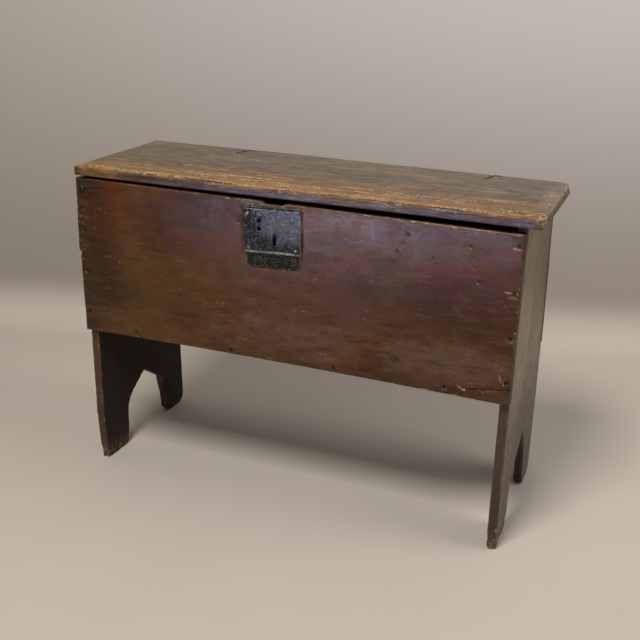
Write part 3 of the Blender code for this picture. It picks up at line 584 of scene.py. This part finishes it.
    # Gloss and relief
    for centre, radii, drop in polish:
        rough = add(tree, "multiply add", close_to(tree, here, smear, centre, radii), -drop, rough)
    rough = add(tree, "multiply add", add(tree, "subtract", fine, 0.5), 0.25, rough)
    tree.links.new(rough, shader["Roughness"])
    bumps = add(tree, "multiply", pore, -0.35)
    for share, part in ((0.7, streak), (0.5, fine), (0.6, cloud), (0.4, grit)):
        bumps = add(tree, "multiply add", part, share, bumps)
    tree.links.new(add(tree, "ShaderNodeBump", 1.0, relief * MM, None, bumps), shader["Normal"])
    return material


print("tones in every oak:", PORE, PAINTED_SHADE_BLACK, ROTTEN)

# %% [markdown]
# ## The front plank's finish
# The front is one board, let into the ends and nailed. Its wax is nearly black at the left, orange where it
# is thin, olive and purple in between, and polished along the top on the right. Its back never saw wax.
# Places on it are measured from the left end board and from the floor.

# %% Front plank's finish
TO_BACK, TO_RIGHT = (0, 1, 0), (1, 0, 0)
DRY_INSIDE = "4A3826"
BOARD_THICK = 19 * MM
FRONT_RUBBED = 14 * MM
FRONT_SHINE = 0.34


def on_front(x, z):
    """A place on the front plank's face, in millimetres from the left end board and from the floor."""
    return Vector((LEFT + x * MM, FRONT, z * MM))


# Waxed oak: nearly black brown with an orange glow, smooth to the touch, glossy along the top
oak_front = oak(
    "waxed_oak_front", X_AXIS,
    dark="40240E", middle="5A361A", light="7C5434", rubbed="5E4232", fresh="C8B49A", gloss=(0.21, 0.43),
    relief=0.8, figure=0.36, strokes=0.2, flecks_and_glints=0.5, rub_from=FRONT_TOP - FRONT_RUBBED,
    tints=("582A10", "4C3C14"),
    faces=[(TO_BACK, DRY_INSIDE, 1.0, 0.7), (TO_RIGHT, "3C261A", 0.85, 0.6)],
    stains=[
        (on_front(66, 580), (52, 14, 90), "6E320A", 0.45),
        (on_front(5, 480), (110, 14, 280), "241404", 0.6),
        (on_front(215, 440), (160, 14, 90), "4C3A0C", 0.35),
        (on_front(120, 350), (150, 14, 45), "523C0C", 0.4),
        (on_front(290, 450), (50, 14, 70), "62300F", 0.3),
        (on_front(480, 450), (180, 14, 130), "5A3E36", 0.5),
        (on_front(650, 480), (170, 14, 70), "40302E", 0.35),
        (on_front(790, 520), (110, 14, 60), "521F06", 0.6),
        (on_front(800, 485), (140, 14, 70), "2C190E", 0.5),
        (on_front(760, 375), (160, 14, 50), "624E44", 0.45),
        (on_front(450, 370), (220, 14, 55), "624838", 0.4),
        (on_front(250, 590), (130, 14, 50), "3C3028", 0.4),
        # Painted shade down the back of the plank's right end, where it meets the end board
        (Vector((RIGHT, FRONT + BOARD_THICK, 0.47)), (6, 16, 400), PAINTED_SHADE_BLACK, 0.9),
    ],
    polish=[(on_front(640, 620), (330, 20, 120), 0.05)],
)
# Less gloss than bare varnish, or the dark left side would turn grey
oak_front.node_tree.nodes["Principled BSDF"].inputs["Specular IOR Level"].default_value = FRONT_SHINE
print(oak_front.name, len(oak_front.node_tree.nodes), "nodes")

# %% [markdown]
# ## The front plank
# The top left nail has started a split, and another runs in at the lower right. The left end has lost
# splinters, grooves run down both sides of the lock plate, and the wood is scuffed above the plate and near
# nails and tacks; the pale spot under each tack is also a painted glint. Each of these is a line on the
# board, which the wear tree opens into a split or crumbles.

# %% Front plank
FRONT_NET = 1.6 * MM
BOARD_WEAR = {
    "Arris reach": 4.5 * MM,
    "Arris wear": 0.6 * MM,
    "Chip size": Vector((14, 8, 8)) * MM,
    "Chip depth": 1.6 * MM,
    "Wave size": Vector((260, 260, 90)) * MM,
    "Wave depth": 1.6 * MM,
    "Ridge size": Vector((150, 8, 8)) * MM,
    "Ridge depth": 0.25 * MM,
    "Split width": 2.0 * MM,
    "Split depth": 3.0 * MM,
    "Place reach": 4 * MM,
    "Place depth": 1.5 * MM,
    "Wear direction": (1, 1, 1),
    "Seed": 3.0,
}
NAIL_SPLIT = [(0, 611), (14, 613), (38, 617), (61, 619)]
LOWER_SPLIT = [(796, 332), (820, 333), (850, 338), (887, 343)]
NAIL_SCRATCHES = [
    [(860, 524), (884, 525)], [(866, 516), (880, 515)], [(868, 437), (888, 438)],
    [(862, 366), (872, 352)], [(792, 334), (806, 328)], [(868, 603), (888, 600)],
]
PLATE_GROOVES = [[(361, 533), (362, 617)], [(482, 538), (481, 621)]]
HASP_WORN = [[(352, 632), (400, 632)], [(368, 625), (398, 622)], [(402, 627), (448, 627)]]
END_SPLINTERS = [(575, 5), (481, 9), (443, 7), (356, 6), (338, 5)]
PAST_LEFT_END = -6
TACKS = [
    (681, 605), (672, 590), (663, 572), (656, 551),
    (794, 597), (799, 579), (805, 560), (812, 536),
    (728, 568),
]

front_splits = [[on_front(x, z) for x, z in line] for line in (NAIL_SPLIT, LOWER_SPLIT, *PLATE_GROOVES)]
for z, deep in END_SPLINTERS:
    outside = on_front(PAST_LEFT_END, z)
    through = outside + Vector((0, BOARD_THICK, 0))
    front_splits.append([through, outside, on_front(deep, z + 1)])
front_splits += [[on_front(x + 2, z + 1), on_front(x + 3, z - 1)] for x, z in TACKS]
scuffs_and_glints = [[on_front(x, z) for x, z in line] for line in HASP_WORN + NAIL_SCRATCHES]
# Under each tack a pale crumbled spot: broken wood, and a painted glint
scuffs_and_glints += [[on_front(x - 2, z - 3), on_front(x, z - 4)] for x, z in TACKS]
worn("front_plank", "coffer", oak_front, FRONT_NET, front_splits, scuffs_and_glints, BOARD_WEAR)

# %% [markdown]
# ## The lid's finish
# The lid is one board too, rubbed to gold along its front where hands lift it and grey olive behind; the
# grey is partly a painted reflection of the wall. Its grain shows more than the front's, as wood does where
# wax has worn thin.

# %% Lid's finish
TO_FRONT, DOWN = (0, -1, 0), (0, 0, -1)
LID_RUBBED = 5 * MM


def on_lid(x, y):
    """A place on the lid's top, in millimetres from the left end board and from the front plank."""
    return Vector((LEFT + x * MM, FRONT + y * MM, LID_TOP))


# Waxed oak worn by hands: grey olive, partly a painted reflection, with warm streaks, gold at the front
oak_lid = oak(
    "waxed_oak_lid", X_AXIS,
    dark="4C3E2A", middle="665038", light="A07E4E", rubbed="8E6A3C", fresh="DCC8A4", gloss=(0.36, 0.54),
    relief=0.8, figure=1.0, strokes=0.4, smears=0.45,
    rub_from=LID_TOP - LID_RUBBED, rub=0.35, rims=0.7, wide=1.7,
    tints=("704E28", "524C40"),
    faces=[
        (TO_FRONT, "46302C", 0.95, 0.42),
        (DOWN, DRY_INSIDE, 1.0, 0.7),
        (TO_RIGHT, "5A4834", 0.85, 0.6),
    ],
    stains=[
        # Grey over the back of the top: grey wax, and a painted reflection of the wall
        (on_lid(440, 230), (1300, 150, 6), "5E554B", 0.6),
        (on_lid(560, 70), (600, 60, 6), "7E5430", 0.4),
        (on_lid(440, 10), (1600, 70, 4), "8A5E28", 0.4),
        (on_lid(440, 0), (1600, 24, 4), "A26A26", 0.5),
        (on_lid(903, 150), (26, 170, 6), "6E6250", 0.8),
        (on_lid(20, -4) - Vector((0, 0, 9 * MM)), (110, 14, 14), "6A4424", 0.8),
    ],
)
print(oak_lid.name, len(oak_lid.node_tree.nodes), "nodes")

# %% [markdown]
# ## The lid
# The lid is cracked along the grain. Its two right corners have crumbled, and its lower arrises are still
# crisp. Cracks are many and much alike, so they are drawn by chance from a fixed seed, more of them nearer
# the front.

# %% Lid
LID_NET = 1.7 * MM
LID_MIDDLE = 10 * MM
CRACKS = 64
CRACK_SEED = 5
CRACK_STARTS = (0, 860)
CRACK_LONG = (25, 150)
CRACK_DRIFT = 3
CRACK_BAND = 110
CRACK_CROWDING = 2.2
CORNER_CRACK = [(905, 12), (840, 16), (780, 13)]
CRUMBLED = [[(913, -4), (914, 14)], [(915, 250), (912, 308), (880, 310)], [(890, 178), (914, 186)]]

chance = random.Random(CRACK_SEED)
lid_splits = [[on_lid(x, y) for x, y in CORNER_CRACK]]
for _ in range(CRACKS):
    start = chance.uniform(*CRACK_STARTS)
    length = chance.uniform(*CRACK_LONG)
    back = CRACK_BAND * chance.random() ** CRACK_CROWDING
    drift = chance.uniform(-CRACK_DRIFT, CRACK_DRIFT)
    bend = on_lid(start + length / 2, back + drift)
    lid_splits.append([on_lid(start, back), bend, on_lid(start + length, back)])
crumbled = [[on_lid(x, y) for x, y in line] for line in CRUMBLED]
worn("lid", "lid", oak_lid, LID_NET, lid_splits, crumbled, {
    **BOARD_WEAR,
    "Arris reach": 8 * MM,
    "Arris wear": 1.8 * MM,
    "Chip size": Vector((16, 9, 9)) * MM,
    "Chip depth": 3.0 * MM,
    "Wave size": Vector((300, 90, 300)) * MM,
    "Ridge size": Vector((170, 7, 7)) * MM,
    "Ridge depth": 0.5 * MM,
    "Split width": 2.4 * MM,
    "Split depth": 1.8 * MM,
    "Place reach": 18 * MM,
    "Place depth": 5.0 * MM,
    "Seed": 11.0,
}, crisp_below=LID_TOP - LID_MIDDLE)

# %% [markdown]
# ## The ends
# The ends stand with their grain upright and run to the floor, so their feet have drunk damp and crumbled.
# The outer faces are smooth and waxed. The inner ones never saw wax, and they and the arch are painted
# nearly black, partly as painted shade from under the chest. A shallow groove, painted black as shade, runs
# down where the front plank is let in.

# %% Ends
END_NET = 1.7 * MM
SHADED_SEAM_BACK = 20 * MM
SHADED_SEAM_SPAN = (0.312, 0.632)
TOE_IN = 10 * MM
TOE_SPAN = (10, 95)
# Nearly black inner faces: dark wood, and painted shade under the chest
INNER_DARK_AND_SHADE = "180C04"


def end_finish(name, edge, inward, front_code):
    """Waxed oak, olive grey outside, with dry brown feet and a dark arch that is partly painted shade."""
    return oak(
        name, Z_AXIS,
        dark="4E3D2A", middle="66523A", light="74603F", rubbed="6E4C30", fresh="B89C74", gloss=(0.34, 0.46),
        relief=0.25, figure=0.12, strokes=0.0, smears=0.12, flecks_and_glints=0.2, rub=0.3,
        faces=[(TO_FRONT, front_code, 0.95, 0.4), ((inward, 0, 0), INNER_DARK_AND_SHADE, 1.0, 0.85)],
        stains=[
            (Vector((edge, FRONT + 95 * MM, 0.45)), (10, 85, 420), "84725C", 0.5),
            (Vector((edge, FRONT + 180 * MM, 0.1)), (10, 280, 260), "3E2F1E", 0.8),
            # Painted shade under the arch and low on the inner face
            (Vector((edge + inward * 12 * MM, FRONT + 190 * MM, 0.05)), (14, 170, 220), "160E08", 0.95),
            (Vector((edge, FRONT, 0.06)), (40, 30, 170), "33260F", 0.7),
        ],
    )


for node, edge, inward, front_code in (
    ("left_end", LEFT, 1, "4C2B0C"),
    ("right_end", RIGHT, -1, "443023"),
):
    # The seam is a shallow split, painted black as shade where the front plank meets the end
    shaded_seam = [Vector((edge, FRONT + SHADED_SEAM_BACK, z)) for z in SHADED_SEAM_SPAN]
    toe = [Vector((edge + inward * TOE_IN, FRONT + y * MM, 0)) for y in TOE_SPAN]
    finish = end_finish("waxed_oak_" + node, edge, inward, front_code)
    worn(node, "coffer", finish, END_NET, [shaded_seam], [toe], {
        **BOARD_WEAR,
        "Chip size": Vector((8, 8, 14)) * MM,
        "Wave size": Vector((260, 90, 260)) * MM,
        "Ridge size": Vector((8, 8, 160)) * MM,
        "Ridge depth": 0.15 * MM,
        "Split width": 8 * MM,
        "Split depth": 1.5 * MM,
        "Place reach": 42 * MM,
        "Place depth": 5.5 * MM,
        "Wear direction": (1, 1, 0.1),
        "Seed": 20.0 + inward,
    })

# %% [markdown]
# ## Back and bottom
# Nobody waxed the back and the bottom: they are dry brown oak, sawn and left. They take the same wear, on
# a coarser net, because little of them is ever seen.

# %% Back and bottom
BACK_NET = 2.6 * MM
BACK_CRACK = [(0.2, 0.4), (0.5, 0.402)]
CORNER_WORN = (0.0, 0.05)

# Dry oak: dull brown, open grain
oak_inside = oak(
    "dry_oak", X_AXIS,
    dark="3E2E20", middle="523E2A", light="645038", rubbed="6A4E36", fresh="B09872", gloss=(0.6, 0.8),
    relief=0.8, figure=0.8, strokes=0.0,
)
for node in ("back_plank", "bottom_plank"):
    low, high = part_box(node)
    crack = [Vector((low.x + x, high.y, z)) for x, z in BACK_CRACK]
    corner = [Vector((low.x + x, high.y, low.z)) for x in CORNER_WORN]
    worn(node, "coffer", oak_inside, BACK_NET, [crack], [corner], {**BOARD_WEAR, "Seed": 31.0})

# %% [markdown]
# ## Iron
# The lock plate was hammered out by hand, blacked and waxed with the chest, so it is dark with bright
# facets. The staples and most nails have rusted instead. All of it is one metal with different tones and
# amounts of rust, so one function makes each kind.

# %% Iron finish
PIT = "0B0A0A"


def iron(name, dark, bright, rust, gloss, rust_share, stains=(), metal=0.9, hammered=2.6):
    """Hammered iron: two tones of metal, patches of rust, black pits, and stains that colour what lies near
    a place. Metal is how metallic it looks, hammered how deep its marks are in millimetres."""
    material, tree, shader = new_material(name)
    here = add(tree, "ShaderNodeTexCoord").node.outputs["Object"]
    pits = blotches(tree, here, (3, 3, 3), 3.0, 0.6)
    scale = blotches(tree, here, (8, 8, 8), 4.0, 0.65)
    colour = add(tree, "mix", add(tree, "step", scale, 0.5, 0.7, 0.0, rust_share), paint(dark), paint(rust))
    colour = add(tree, "mix", add(tree, "step", pits, 0.5, 0.7, 0.0, 0.6), colour, paint(bright))
    colour = add(tree, "mix", add(tree, "step", pits, 0.49, 0.37, 0.0, 0.85), colour, paint(PIT))
    arris = add(tree, "ShaderNodeAttribute", attribute_name="arris").node.outputs["Fac"]
    edge = add(tree, "multiply", add(tree, "step", arris, 0.4, 0.8), add(tree, "step", scale, 0.42, 0.55))
    colour = add(tree, "mix", edge, colour, paint(bright))
    for centre, radii, code, share in stains:
        near = close_to(tree, here, scale, centre, radii)
        colour = add(tree, "mix", add(tree, "multiply", near, share), colour, paint(code))
    tree.links.new(colour, shader["Base Color"])
    tree.links.new(add(tree, "step", scale, 0.35, 0.65, gloss[0], gloss[1]), shader["Roughness"])
    tree.links.new(add(tree, "ShaderNodeBump", 1.0, hammered * MM, None, pits), shader["Normal"])
    shader["Metallic"].default_value = metal
    return material


# Blackened iron: blue grey facets that catch the window, a painted bluish highlight at the upper right,
# a lower edge rubbed bright with a painted highlight along it, and painted shade round the keyhole
wrought_iron = iron(
    "blackened_wrought_iron",
    dark="36363A", bright="8A8A94", rust="2C2624", gloss=(0.22, 0.36), rust_share=0.5,
    stains=[
        # Rubbed metal with a painted bluish highlight at the plate's upper right
        (on_front(455, 602), (80, 30, 60), "8A8A96", 0.5),
        # The lower edge rubbed bright, with a painted highlight along it
        (on_front(395, 534), (45, 30, 4), "C4C2BE", 0.7),
        (on_front(450, 537), (45, 30, 4), "C4C2BE", 0.8),
        # Painted shade in and round the keyhole
        (on_front(428, 561), (5, 30, 16), PIT, 1.0),
    ],
)
# Dull iron: the same under dirt
dull_iron = iron(
    "dull_wrought_iron", dark="2A2927", bright="86837A", rust="2C241E", gloss=(0.3, 0.46), rust_share=0.5
)
# Bright iron: nail heads that hands have rubbed smooth, painted pale as a glint too
rubbed_iron_and_glint = iron(
    "rubbed_wrought_iron_and_glint", dark="8A8A8E", bright="DCDCE0", rust="3A3430", gloss=(0.2, 0.3), rust_share=0.2,
    metal=0.7, hammered=0.2,
)
# Rusted iron: brown and matt
rusted_iron = iron(
    "rusted_wrought_iron", dark="2A211C", bright="4A3A30", rust="5A3420", gloss=(0.5, 0.8), rust_share=0.7,
    metal=0.3,
)
print("iron finishes:", [m.name for m in (wrought_iron, dull_iron, rubbed_iron_and_glint, rusted_iron)])

# %% [markdown]
# ## The lock plates
# The small plate is nailed over an older, larger one that is let into the wood. The same wear tree makes
# the hammer marks: waves and ridges a few millimetres wide instead of a board's long ones.

# %% Lock plates
PLATE_WEAR = {
    **BOARD_WEAR,
    "Arris reach": 2.0 * MM,
    "Arris wear": 0.2 * MM,
    "Chip size": Vector((9, 9, 9)) * MM,
    "Chip depth": 0.7 * MM,
    "Wave size": Vector((9, 9, 9)) * MM,
    "Wave depth": 0.6 * MM,
    "Ridge size": Vector((5, 5, 5)) * MM,
    "Ridge depth": 1.6 * MM,
    "Split width": 1.2 * MM,
    "Split depth": 0.6 * MM,
    "Place reach": 4 * MM,
    "Place depth": 1.0 * MM,
    "Seed": 41.0,
}
UNDER_WEAR = {
    **PLATE_WEAR,
    "Wave depth": 0.4 * MM,
    "Place reach": 6 * MM,
    "Place depth": 2.5 * MM,
    "Seed": 43.0,
}
PLATE_SCRATCH = [(455, 600), (462, 592)]
PLATE_EDGE = [(364, 533), (480, 536)]
UNDER_SCRATCH = [(372, 530), (395, 512), (430, 507)]
UNDER_EDGE = [(371, 505), (479, 507)]

for node, finish, voxel, scratch, worn_edge, wear_values in (
    ("lock_plate", wrought_iron, 0.7, PLATE_SCRATCH, PLATE_EDGE, PLATE_WEAR),
    ("under_plate", dull_iron, 0.6, UNDER_SCRATCH, UNDER_EDGE, UNDER_WEAR),
):
    scratch, worn_edge = ([on_front(x, z) for x, z in line] for line in (scratch, worn_edge))
    worn(node, "coffer", finish, voxel * MM, [scratch], [worn_edge], wear_values)

# %% [markdown]
# ## How a nail head is forged
# Every nail was forged, so no two heads are alike. A geometry tree puts a ball, flattened to the head's
# size, at each place, swells and turns it by chance, and dents them all with one noise.

# %% Nail head tree
HEAD_INPUTS = {
    "Places": "Geometry",
    "Radius": "Float",
    "Height": "Float",
    "Facing": "Rotation",
    "Seed": "Int",
    "Finish": "Material",
}
BALL_FINENESS = 3
SWELL = (0.85, 1.12)
NO_TURN, FULL_TURN = (0, 0, 0), (0, 0, 2 * math.pi)
DENT = 1.2 * MM
DENT_SIZE = (3.5, 3.5, 3.5)

heads, given, head_sockets = open_tree("nail_heads", HEAD_INPUTS)
ball = add(heads, "GeometryNodeMeshIcoSphere", 1.0, BALL_FINENESS)
size = add(heads, "ShaderNodeCombineXYZ", given["Radius"], given["Radius"], given["Height"])
head = add(heads, "GeometryNodeTransform", ball, None, None, size)
seed = given["Seed"]
swell = add(heads, "FunctionNodeRandomValue", *SWELL, None, seed)
turns = add(heads, "FunctionNodeRandomValue", NO_TURN, FULL_TURN, None, seed, data_type="FLOAT_VECTOR")
places, facing = given["Places"], given["Facing"]
made = add(heads, "GeometryNodeInstanceOnPoints", places, None, head, None, None, facing, swell)
made = add(heads, "GeometryNodeRotateInstances", made, None, turns)
made = add(heads, "GeometryNodeRealizeInstances", made)
dents = blotches(heads, add(heads, "GeometryNodeInputPosition"), DENT_SIZE).node.outputs["Color"]
dents = add(heads, "scale vector", add(heads, "subtract vectors", dents, MID_NOISE), DENT)
made = add(heads, "GeometryNodeSetPosition", made, None, None, dents)
made = add(heads, "GeometryNodeSetShadeSmooth", made)
made = add(heads, "GeometryNodeSetMaterial", made, None, given["Finish"])
add(heads, "NodeGroupOutput", made)
print("nail head tree:", len(heads.nodes), "nodes")

# %% [markdown]
# ## Nail heads
# Each row of the table is a group of nails: which way they face, how deep the head's middle lies behind the
# top of its solid, the head's radius and height in millimetres, and its iron. Heads of one group are one
# mesh, because they ride on one body.

# %% Nail heads
FORWARD = (math.pi / 2, 0, 0)
BACKWARD = (-math.pi / 2, 0, 0)
NAIL_SEED = 7


def nail_heads(name, places, facing, radius, height, finish, seed, stands_for=()):
    """Forged heads at these places, on the coffer. Radius and height are in millimetres."""
    mesh = bpy.data.meshes.new(name)
    mesh.from_pydata([tuple(p) for p in places], [], [])
    piece = bpy.data.objects.new(name, mesh)
    bpy.context.scene.collection.objects.link(piece)
    forging = piece.modifiers.new("forging", "NODES")
    forging.node_group = heads
    sizes = {"Radius": radius * MM, "Height": height * MM}
    for key, value in {**sizes, "Facing": facing, "Seed": seed, "Finish": finish}.items():
        forging[head_sockets[key]] = value
    piece.data = evaluated(piece)
    piece.modifiers.clear()
    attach(piece, "coffer")
    if stands_for:
        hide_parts(*stands_for)
    print(name, len(places), "heads", triangles(piece.data), "triangles")


for prefix, facing, seat, radius, height, finish, slot in (
    ("front_left_nail_1", FORWARD, 3.5, 7.4, 3.8, dull_iron, "wrought_iron"),
    *((f"front_left_nail_{i}", FORWARD, 1.6, 2.4, 0.6, rusted_iron, "rusted_iron") for i in (2, 3, 4)),
    ("front_right", FORWARD, 1.6, 2.8, 1.1, dull_iron, "wrought_iron"),
    ("front_bottom", FORWARD, 1.6, 2.4, 0.6, rusted_iron, "rusted_iron"),
    ("back", BACKWARD, 1.6, 4.4, 1.8, rusted_iron, "rusted_iron"),
    ("lock_plate", FORWARD, 1.4, 3.4, 2.2, rubbed_iron_and_glint, "wrought_iron"),
    ("under_plate", FORWARD, 1.6, 3.0, 1.6, dull_iron, "wrought_iron"),
):
    nails = sorted(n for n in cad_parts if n.startswith(prefix) and "_nail_" in n)
    places = []
    for low, high in map(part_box, nails):
        y = low.y + seat * MM if facing == FORWARD else high.y - seat * MM
        places.append(Vector(((low.x + high.x) / 2, y, (low.z + high.z) / 2)))
    nail_heads(prefix + "_heads", places, facing, radius, height, finish, NAIL_SEED, nails)

# %% [markdown]
# ## Tacks
# Two slanting rows of small tacks and a stray one are left in the front, from something once fixed there.
# They are forged like the nails, only smaller, so the same tree makes them.

# %% Tacks
TACK_RADIUS, TACK_HEIGHT = 2.0, 1.1
TACK_SEED = 9
tack_places = [on_front(x, z) for x, z in TACKS]
nail_heads(
    "front_tacks", tack_places, FORWARD, TACK_RADIUS, TACK_HEIGHT, dull_iron, TACK_SEED
)

# %% [markdown]
# ## The iron that stays as it is
# Staples, bolt, keepers, spring and wards keep their own solids, whose shapes are right. The bolt is black
# like the plate that it shows through. The rest has rusted.

# %% Staples and lock works
kept_nodes = [name for name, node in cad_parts.items() if not node.hide_render]
for name in kept_nodes:
    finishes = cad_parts[name].data.materials
    finishes.clear()
    finishes.append(wrought_iron if name == "lock_bolt" else rusted_iron)
print("solids that stay:", kept_nodes)
